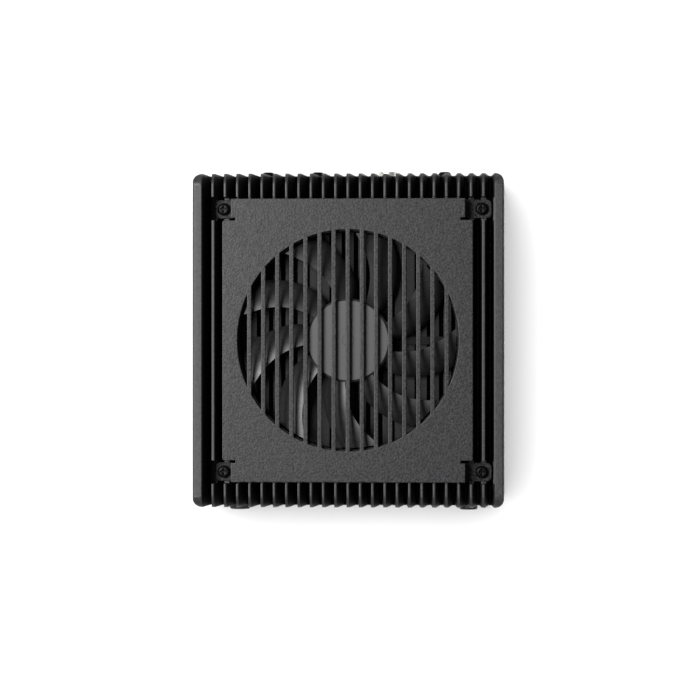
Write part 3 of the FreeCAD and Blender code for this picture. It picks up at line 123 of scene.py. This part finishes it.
def shades(colour, contrast):
    """Three stops: a colour between a darker and a lighter one."""
    darker = tuple(channel * (1 - contrast) for channel in colour)
    lighter = tuple(min(1.0, channel * (1 + contrast)) for channel in colour)
    return [(0.32, darker), (0.5, colour), (0.68, lighter)]


def grained(name, colour, scale, contrast, roughness, relief, metallic=0.0, specular=0.5,
            stretch=(1, 1, 1)):
    """A finish whose colour, gloss and height all follow one fine grain."""
    material, tree, shader = new_material(name)
    grain = noise(tree, scale, 3.0, stretch)
    tree.links.new(ramp(tree, grain, shades(colour, contrast)), shader.inputs["Base Color"])
    tree.links.new(spread(tree, grain, *roughness), shader.inputs["Roughness"])
    bump(tree, shader, grain, relief)
    shader.inputs["Metallic"].default_value = metallic
    shader.inputs["Specular IOR Level"].default_value = specular
    return material


def anodised(name, colour, specular, roughness):
    """Sandblasted and anodised aluminium, with the faint streaks of the extrusion along Y."""
    material, tree, shader = new_material(name)
    blast = noise(tree, 1300, 3.0)
    streak = noise(tree, 700, 2.0, (1, 0.02, 1))
    tree.links.new(ramp(tree, blast, shades(colour, 0.4)), shader.inputs["Base Color"])
    tree.links.new(spread(tree, streak, *roughness), shader.inputs["Roughness"])
    relief = bump(tree, shader, streak, 0.004)
    bump(tree, shader, blast, 0.022, below=relief)
    shader.inputs["Specular IOR Level"].default_value = specular
    return material


def coated(name, colour, specular, roughness, relief):
    """A fine-textured coating: small grains that catch the light on a softer, larger mottle."""
    material, tree, shader = new_material(name)
    grains = noise(tree, 1300, 4.0)
    mottle = noise(tree, 420, 2.0)
    tree.links.new(ramp(tree, grains, shades(colour, 0.9)), shader.inputs["Base Color"])
    tree.links.new(spread(tree, mottle, *roughness), shader.inputs["Roughness"])
    larger = bump(tree, shader, mottle, relief * 0.5)
    bump(tree, shader, grains, relief, below=larger)
    shader.inputs["Specular IOR Level"].default_value = specular
    return material


def make_finishes():
    """Every finish, by the name of the record's slot that it shows."""
    made = [
        anodised("black_anodised", (0.013, 0.013, 0.0134), 0.104, (0.38, 0.44)),
        # Painted shade: the same anodised aluminium as the case, darker and less glossy, for the
        # floor of the fan's pocket under the grille and blades.
        anodised("pocket_anodised", (0.006, 0.006, 0.0064), 0.06, (0.42, 0.5)),
        anodised("panel_anodised", (0.010, 0.010, 0.0105), 0.2, (0.38, 0.48)),
        coated("cover_coating", (0.007, 0.007, 0.0075), 0.095, (0.38, 0.44), 0.08),
        # Painted shade: the lugs are the same coated sheet as the plate, given a darker, less glossy
        # colour because they sit deeper.
        coated("lug_coating", (0.009, 0.009, 0.009), 0.03, (0.4, 0.5), 0.02),
        grained("black_screw", (0.0013, 0.0013, 0.0013), 1500, 0.3, (0.26, 0.36), 0.004,
                specular=0.03),
        grained("steel", (0.5, 0.5, 0.5), 900, 0.15, (0.28, 0.42), 0.004, metallic=1.0),
        grained("nickel_shell", (0.62, 0.61, 0.58), 800, 0.12, (0.22, 0.36), 0.003,
                metallic=1.0, stretch=(0.15, 1, 1)),
        grained("gold_contact", (0.78, 0.56, 0.24), 1500, 0.12, (0.2, 0.32), 0.002,
                metallic=1.0),
        grained("fan_plastic", (0.004, 0.004, 0.004), 1800, 0.3, (0.4, 0.55), 0.01,
                specular=0.03),
        grained("blade_plastic", (0.010, 0.010, 0.0105), 600, 0.15, (0.42, 0.48), 0.003,
                specular=0.2),
        grained("rubber_black", (0.018, 0.018, 0.018), 1400, 0.35, (0.62, 0.8), 0.02,
                specular=0.3),
        grained("foam", (0.02, 0.02, 0.02), 1800, 0.5, (0.85, 1.0), 0.08),
        grained("brass", (0.72, 0.55, 0.28), 900, 0.12, (0.25, 0.4), 0.003, metallic=1.0),
        grained("copper", (0.72, 0.38, 0.24), 900, 0.15, (0.28, 0.42), 0.004, metallic=1.0),
        grained("magnet", (0.05, 0.047, 0.045), 1500, 0.3, (0.55, 0.7), 0.02),
        grained("board_green", (0.01, 0.05, 0.03), 500, 0.4, (0.3, 0.42), 0.01),
        grained("chip_black", (0.02, 0.02, 0.022), 1600, 0.25, (0.5, 0.65), 0.01),
        grained("thermal_grey", (0.4, 0.42, 0.45), 1200, 0.2, (0.6, 0.8), 0.02),
        grained("capacitor_can", (0.6, 0.6, 0.62), 900, 0.1, (0.25, 0.35), 0.002, metallic=1.0),
        grained("jack_plastic", (0.012, 0.012, 0.013), 1500, 0.3, (0.42, 0.55), 0.01,
                specular=0.35),
        grained("tongue_plastic", (0.015, 0.015, 0.016), 1500, 0.25, (0.4, 0.5), 0.01,
                specular=0.35),
        grained("lamp_clear", (0.7, 0.74, 0.72), 800, 0.08, (0.12, 0.2), 0.002),
        grained("lead_cover", (0.015, 0.015, 0.015), 1300, 0.3, (0.5, 0.62), 0.01),
    ]
    return {material.name.removesuffix(FINISH): material for material in made}


def dress_nodes():
    """Give every CAD node the finish of its slot."""
    for part in frame["record"]["subparts"]:
        slots = nodes[part["node"]].data.materials
        slots.clear()
        slots.append(finishes[part["material_slot"]])


# ---------------------------------------------------------------- mesh helpers

SHARP = math.radians(32)
LEVEL = math.radians(0.5)
WELD = 0.0005 * MM
BEVEL_SEGMENTS = 2
BEVEL_PROFILE = 0.6


def keep_flat(piece):
    """Weight the normals by area, so that flat faces beside a bevel are shaded flat."""
    weigh = piece.modifiers.new("weigh", "WEIGHTED_NORMAL")
    weigh.keep_sharp = True
    graph = bpy.context.evaluated_depsgraph_get()
    flat = bpy.data.meshes.new_from_object(piece.evaluated_get(graph))
    piece.modifiers.remove(weigh)
    old = piece.data
    name = old.name
    piece.data = flat
    bpy.data.meshes.remove(old)
    flat.name = name


def finish_piece(name, mesh, slot, body="root", stands_for=()):
    """Smooth a mesh between its sharp edges and put it in the scene as a piece."""
    mesh.name = name
    mesh.shade_smooth()
    mesh.set_sharp_from_angle(angle=SHARP)
    piece = bpy.data.objects.new(name, mesh)
    bpy.context.collection.objects.link(piece)
    if not mesh.materials:
        mesh.materials.append(finishes[slot])
    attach(piece, body)
    if stands_for:
        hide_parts(*stands_for)
    keep_flat(piece)
    return piece


def mesh_from(build):
    """A mesh from a bmesh, which is freed, without the normals of the node it was copied from."""
    mesh = bpy.data.meshes.new("piece")
    build.to_mesh(mesh)
    build.free()
    kept = mesh.attributes.get("custom_normal")
    if kept:
        mesh.attributes.remove(kept)
    return mesh


def cad_copy(name):
    """A CAD node's faces, welded, with flat areas joined into single faces."""
    build = bmesh.new()
    build.from_mesh(nodes[name].data)
    bmesh.ops.remove_doubles(build, verts=build.verts, dist=WELD)
    bmesh.ops.dissolve_limit(build, angle_limit=LEVEL, verts=build.verts, edges=build.edges)
    return build


def break_edges(build, width):
    """Bevel the sharp edges.  Short sides of round outlines would clamp it, so nothing does."""
    sharp = [edge for edge in build.edges
             if len(edge.link_faces) == 2 and edge.calc_face_angle(0) > SHARP]
    bmesh.ops.bevel(build, geom=sharp, offset=width, offset_type="OFFSET",
                    segments=BEVEL_SEGMENTS, profile=BEVEL_PROFILE, affect="EDGES",
                    clamp_overlap=False)


def islands(name):
    """The box of each separate solid of a CAD node."""
    build = bmesh.new()
    build.from_mesh(nodes[name].data)
    bmesh.ops.remove_doubles(build, verts=build.verts, dist=WELD)
    left = set(build.verts)
    found = []
    while left:
        stack = [left.pop()]
        group = list(stack)
        while stack:
            vert = stack.pop()
            for edge in vert.link_edges:
                other = edge.other_vert(vert)
                if other in left:
                    left.remove(other)
                    stack.append(other)
                    group.append(other)
        corners = list(zip(*(vert.co for vert in group)))
        found.append((Vector(map(min, corners)), Vector(map(max, corners))))
    build.free()
    return sorted(found, key=lambda pair: tuple(pair[0]))


# ---------------------------------------------------------------- cover plate

COVER_EDGE = 0.35 * MM
PLATE_THICK = 1.5 * MM
LUG_MARGIN = 0.2 * MM


def make_cover():
    """The slotted plate with its edges broken, and its sunken lugs in a darker colour that is
    painted shade.
    """
    build = cad_copy("fan_cover")
    under = box("fan_cover")[1].z - PLATE_THICK
    break_edges(build, COVER_EDGE)
    for face in build.faces:
        # Faces below the plate are the sunken lugs; their darker colour is painted shade.
        is_lug = face.calc_center_median().z < under - LUG_MARGIN
        face.material_index = 1 if is_lug else 0
    mesh = mesh_from(build)
    mesh.materials.append(finishes["cover_coating"])
    mesh.materials.append(finishes["lug_coating"])
    finish_piece("cover_plate", mesh, "cover_coating", stands_for=["fan_cover"])


# ---------------------------------------------------------------- housing

HOUSING_EDGE = 0.22 * MM
# How far above the floor of the fan's pocket the painted shade reaches.
POCKET_SHADE_RISE = 1 * MM


def make_housing():
    """The finned case with its edges broken, and painted shade on the bottom of the fan's pocket: a
    darker, duller colour than the fins outside.
    """
    build = cad_copy("heatsink_housing")
    break_edges(build, HOUSING_EDGE)
    low, high = box("fan_frame")
    for face in build.faces:
        middle = face.calc_center_median()
        inside = low.x < middle.x < high.x and low.y < middle.y < high.y
        # Faces near the floor inside the fan's pocket take the darker colour, which is painted
        # shade.
        face.material_index = 1 if inside and middle.z < low.z + POCKET_SHADE_RISE else 0
    mesh = mesh_from(build)
    mesh.materials.append(finishes["black_anodised"])
    mesh.materials.append(finishes["pocket_anodised"])
    finish_piece("housing", mesh, "black_anodised", stands_for=["heatsink_housing"])


# ---------------------------------------------------------------- softened parts

# The width in millimetres of the bevel on each part whose edges show.
BROKEN = {
    "front_panel": 0.25,
    "rear_panel": 0.25,
    "bottom_cover": 0.3,
    "power_button": 0.15,
    "antenna_plug": 0.2,
    "lan_jacks": 0.12,
    "usb_port_1": 0.1,
    "usb_port_2": 0.1,
    "usb_port_3": 0.1,
    "video_port_1": 0.1,
    "video_port_2": 0.1,
    "usb_c_port": 0.1,
    "power_inlet": 0.12,
    "port_tongues": 0.12,
    "light_pipes": 0.15,
    "fan_cover_screws": 0.09,
    "panel_screws": 0.09,
    "rear_top_screws": 0.09,
    "bottom_cover_screws": 0.09,
}


def body_of(name):
    """The body that a node belongs to."""
    bodies = frame["record"]["behaviour"]["bodies"]
    return next(body for body, members in bodies.items() if name in members)


def soften(name, width):
    """A copy of a CAD node with its edges broken, in its place."""
    build = cad_copy(name)
    break_edges(build, width * MM)
    slot = next(part["material_slot"] for part in frame["record"]["subparts"]
                if part["node"] == name)
    finish_piece(name + "_soft", mesh_from(build), slot, body_of(name), [name])


# ---------------------------------------------------------------- contacts

JACK_WIRES = 8
JACK_PITCH = 1.02 * MM
WIRE_WIDTH = 0.36 * MM
# How far in from the mouth and up from its floor each end and the crest of a wire lie.
WIRE_FRONT = (2.2 * MM, 0.25 * MM)
WIRE_CREST = (8.0 * MM, 2.1 * MM)
WIRE_BACK = (9.5 * MM, 1.6 * MM)

THICK_TONGUE = 1.7 * MM
THICK_CONTACTS = 4
THIN_CONTACTS = 9
CONTACTS_SHARE = 0.85
CONTACT_FILL = 0.45
CONTACT_TALL = 0.12 * MM
CONTACT_START = 2.0 * MM
CONTACT_END = 0.6 * MM


def add_bar(build, start, end, wide, tall):
    """A bar between two points, of a given width along X and height across it."""
    along = (end - start).normalized()
    side = Vector((1, 0, 0)) * wide / 2
    up = side.cross(along).normalized() * tall / 2
    ring = [(-1, -1), (1, -1), (1, 1), (-1, 1)]
    near = [build.verts.new(start + side * x + up * z) for x, z in ring]
    far = [build.verts.new(end + side * x + up * z) for x, z in ring]
    build.faces.new(near)
    build.faces.new(reversed(far))
    for index in range(4):
        after = (index + 1) % 4
        build.faces.new((near[after], near[index], far[index], far[after]))


def finish_contacts(name, build):
    """Gilded contacts, which belong to the nickel shells' slot."""
    mesh = mesh_from(build)
    mesh.materials.append(finishes["gold_contact"])
    finish_piece(name, mesh, "nickel_shell")


def make_jack_contacts():
    """Eight sprung wires low in the mouth of each network jack."""
    build = bmesh.new()
    for opening in frame["record"]["physics"]["openings"]:
        if not opening["name"].startswith("network_jack"):
            continue
        low, high = (Vector(corner) for corner in opening["box_m"])
        middle = (low.x + high.x) / 2
        for index in range(JACK_WIRES):
            x = middle + (index - (JACK_WIRES - 1) / 2) * JACK_PITCH
            front, crest, back = (Vector((x, low.y + along, low.z + up))
                                  for along, up in (WIRE_FRONT, WIRE_CREST, WIRE_BACK))
            add_bar(build, front, crest, WIRE_WIDTH, WIRE_WIDTH)
            add_bar(build, crest, back, WIRE_WIDTH, WIRE_WIDTH)
    finish_contacts("jack_contacts", build)


def make_port_contacts():
    """Thin contacts under the tongues of the rear ports."""
    build = bmesh.new()
    for low, high in islands("port_tongues"):
        width = high.x - low.x
        count = THICK_CONTACTS if high.z - low.z > THICK_TONGUE else THIN_CONTACTS
        pitch = width * CONTACTS_SHARE / count
        for index in range(count):
            x = (low.x + high.x) / 2 + (index - (count - 1) / 2) * pitch
            start = Vector((x, low.y + CONTACT_START, low.z))
            end = Vector((x, high.y - CONTACT_END, low.z))
            add_bar(build, start, end, pitch * CONTACT_FILL, CONTACT_TALL)
    finish_contacts("port_contacts", build)


# ---------------------------------------------------------------- hub

MARK_RADIUS = 2.4 * MM
MARK_WIDTH = 0.3 * MM
MARK_HEIGHT = 0.05 * MM
MARK_SEGMENTS = 64


def make_hub_mark():
    """The faint ring that the mould's gate leaves in the middle of the hub."""
    high = box("fan_impeller")[1].z
    profile = [(MARK_RADIUS - MARK_WIDTH / 2, high - MARK_HEIGHT),
               (MARK_RADIUS, high + MARK_HEIGHT),
               (MARK_RADIUS + MARK_WIDTH / 2, high - MARK_HEIGHT)]
    build = bmesh.new()
    rings = []
    for index in range(MARK_SEGMENTS):
        angle = math.tau * index / MARK_SEGMENTS
        rings.append([build.verts.new((radius * math.cos(angle), radius * math.sin(angle), z))
                      for radius, z in profile])
    for index, ring in enumerate(rings):
        after = rings[(index + 1) % MARK_SEGMENTS]
        for step in range(len(profile)):
            other = (step + 1) % len(profile)
            build.faces.new((ring[step], after[step], after[other], ring[other]))
    bmesh.ops.recalc_face_normals(build, faces=build.faces)
    finish_piece("hub_mark", mesh_from(build), "blade_plastic", "rotor")


# ---------------------------------------------------------------- stage

FLOOR_SIZE = 8
WORLD_STRENGTH = 0.45
# Place in metres, size in metres and power in watts of each light.
FLOOR_LIGHT = ((-0.35, 0.30, 2.2), 2.2, 97)
KEY_LIGHT = ((-0.54, 0.19, 1.2), 0.6, 66)


def make_floor():
    """A plain white floor under the feet."""
    bpy.ops.mesh.primitive_plane_add(size=FLOOR_SIZE, location=(0, 0, 0))
    floor = bpy.context.object
    floor.name = "floor"
    material, tree, shader = new_material("floor_white")
    soft = noise(tree, 3)
    white = [(0.3, (0.86, 0.86, 0.86)), (0.7, (0.88, 0.88, 0.88))]
    tree.links.new(ramp(tree, soft, white), shader.inputs["Base Color"])
    shader.inputs["Roughness"].default_value = 0.9
    shader.inputs["Specular IOR Level"].default_value = 0.1
    floor.data.materials.append(material)


def area_light(name, place, size, power):
    """A square soft light that points at the middle of the floor."""
    data = bpy.data.lights.new(name, "AREA")
    data.shape = "SQUARE"
    data.size = size
    data.energy = power
    lamp = bpy.data.objects.new(name, data)
    bpy.context.collection.objects.link(lamp)
    lamp.location = place
    lamp.rotation_euler = (-Vector(place)).to_track_quat("-Z", "Y").to_euler()
    lamp.visible_camera = False
    return lamp


def link_floor(lamp, state):
    """Let a light reach only the floor (INCLUDE) or everything but the floor (EXCLUDE)."""
    reached = bpy.data.collections.new(lamp.name + "_floor")
    reached.objects.link(bpy.data.objects["floor"])
    reached.collection_objects[0].light_linking.link_state = state
    lamp.light_linking.receiver_collection = reached


def make_light():
    """An even studio, a broad light for the floor and a smaller key, from the left, for the rest."""
    world = bpy.data.worlds.new("studio")
    bpy.context.scene.world = world
    world.use_nodes = True
    background = world.node_tree.nodes["Background"]
    background.inputs["Color"].default_value = (1, 1, 1, 1)
    background.inputs["Strength"].default_value = WORLD_STRENGTH
    link_floor(area_light("floor_light", *FLOOR_LIGHT), "INCLUDE")
    link_floor(area_light("key", *KEY_LIGHT), "EXCLUDE")
    bpy.context.scene.view_settings.view_transform = "Standard"


SENSOR_WIDTH = 36
CAMERA_DISTANCE = 1.25
CAMERA_TILT = math.radians(3.0)
SEEN_WIDTH = 0.2838
AIM_X = 0.9 * MM
AIM_Y = -3.9 * MM


def make_camera():
    """Straight above, a little to the right, turned to look at the middle of the case."""
    aim = Vector((AIM_X, AIM_Y, box("heatsink_housing")[1].z))
    data = bpy.data.cameras.new("camera")
    data.sensor_width = SENSOR_WIDTH
    data.lens = SENSOR_WIDTH * CAMERA_DISTANCE / SEEN_WIDTH
    data.clip_start = 0.05
    camera = bpy.data.objects.new("camera", data)
    bpy.context.collection.objects.link(camera)
    back = Vector((math.sin(CAMERA_TILT), 0, math.cos(CAMERA_TILT)))
    right = Vector((math.cos(CAMERA_TILT), 0, -math.sin(CAMERA_TILT)))
    axes = Matrix((right, Vector((0, 1, 0)), back)).transposed()
    camera.matrix_world = Matrix.Translation(aim + back * CAMERA_DISTANCE) @ axes.to_4x4()
    bpy.context.scene.camera = camera


make_floor()
make_light()
make_camera()
finishes = make_finishes()
dress_nodes()
make_cover()
make_housing()
for part_name, edge_width in BROKEN.items():
    soften(part_name, edge_width)
make_jack_contacts()
make_port_contacts()
make_hub_mark()
